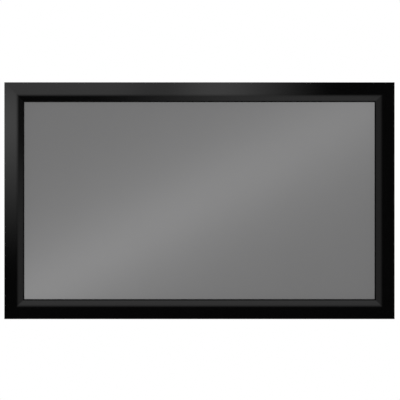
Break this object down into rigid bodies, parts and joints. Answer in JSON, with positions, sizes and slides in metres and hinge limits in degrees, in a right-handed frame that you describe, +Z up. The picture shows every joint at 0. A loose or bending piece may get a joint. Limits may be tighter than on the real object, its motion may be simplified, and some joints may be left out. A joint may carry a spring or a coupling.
{
  "type": "fixed frame projector screen",
  "caption": "Wall-hung projector screen: grey fabric stretched by rods and clips in a mitred black extruded frame with bevelled inner edge, elbows, centre brace and hanging brackets.",
  "frame": {"origin": "middle of the whole object's box", "axes": "+X to the right seen from the front, along the screen's width; +Y back through the screen to the wall; +Z up"},
  "size_m": [1.971, 0.041, 1.196],
  "materials": {
    "coated_frame": "satin",
    "coated_brace": "satin",
    "grey_screen_fabric": "matte",
    "fibreglass_rod": "satin",
    "black_clip_plastic": "matte",
    "zinc_steel": "satin",
    "black_oxide_steel": "satin",
    "bracket_steel": "matte",
    "pad_rubber": "matte"
  },
  "bodies": {
    "root": {"rail_top": "coated_frame", "rail_right": "coated_frame", "rail_bottom": "coated_frame", "rail_left": "coated_frame", "projection_fabric": "grey_screen_fabric", "tension_rod_top": "fibreglass_rod", "tension_rod_right": "fibreglass_rod", "tension_rod_bottom": "fibreglass_rod", "tension_rod_left": "fibreglass_rod", "tension_clip_top_01": "black_clip_plastic", "tension_clip_top_02": "black_clip_plastic", "tension_clip_top_03": "black_clip_plastic", "tension_clip_top_04": "black_clip_plastic", "tension_clip_top_05": "black_clip_plastic", "tension_clip_top_06": "black_clip_plastic", "tension_clip_top_07": "black_clip_plastic", "tension_clip_top_08": "black_clip_plastic", "tension_clip_right_01": "black_clip_plastic", "tension_clip_right_02": "black_clip_plastic", "tension_clip_right_03": "black_clip_plastic", "tension_clip_right_04": "black_clip_plastic", "tension_clip_right_05": "black_clip_plastic", "tension_clip_bottom_01": "black_clip_plastic", "tension_clip_bottom_02": "black_clip_plastic", "tension_clip_bottom_03": "black_clip_plastic", "tension_clip_bottom_04": "black_clip_plastic", "tension_clip_bottom_05": "black_clip_plastic", "tension_clip_bottom_06": "black_clip_plastic", "tension_clip_bottom_07": "black_clip_plastic", "tension_clip_bottom_08": "black_clip_plastic", "tension_clip_left_01": "black_clip_plastic", "tension_clip_left_02": "black_clip_plastic", "tension_clip_left_03": "black_clip_plastic", "tension_clip_left_04": "black_clip_plastic", "tension_clip_left_05": "black_clip_plastic", "corner_elbow_top_left": "zinc_steel", "set_screw_top_left_level": "black_oxide_steel", "set_screw_top_left_upright": "black_oxide_steel", "corner_elbow_top_right": "zinc_steel", "set_screw_top_right_level": "black_oxide_steel", "set_screw_top_right_upright": "black_oxide_steel", "corner_elbow_bottom_right": "zinc_steel", "set_screw_bottom_right_level": "black_oxide_steel", "set_screw_bottom_right_upright": "black_oxide_steel", "corner_elbow_bottom_left": "zinc_steel", "set_screw_bottom_left_level": "black_oxide_steel", "set_screw_bottom_left_upright": "black_oxide_steel", "brace_bar": "coated_brace", "brace_end_top": "black_clip_plastic", "brace_screw_top": "black_oxide_steel", "brace_end_bottom": "black_clip_plastic", "brace_screw_bottom": "black_oxide_steel", "wall_bracket_top_left": "bracket_steel", "wall_pad_top_left": "pad_rubber", "wall_bracket_top_right": "bracket_steel", "wall_pad_top_right": "pad_rubber", "wall_bracket_bottom_left": "bracket_steel", "wall_pad_bottom_left": "pad_rubber", "wall_bracket_bottom_right": "bracket_steel", "wall_pad_bottom_right": "pad_rubber"}
  },
  "joints": []
}
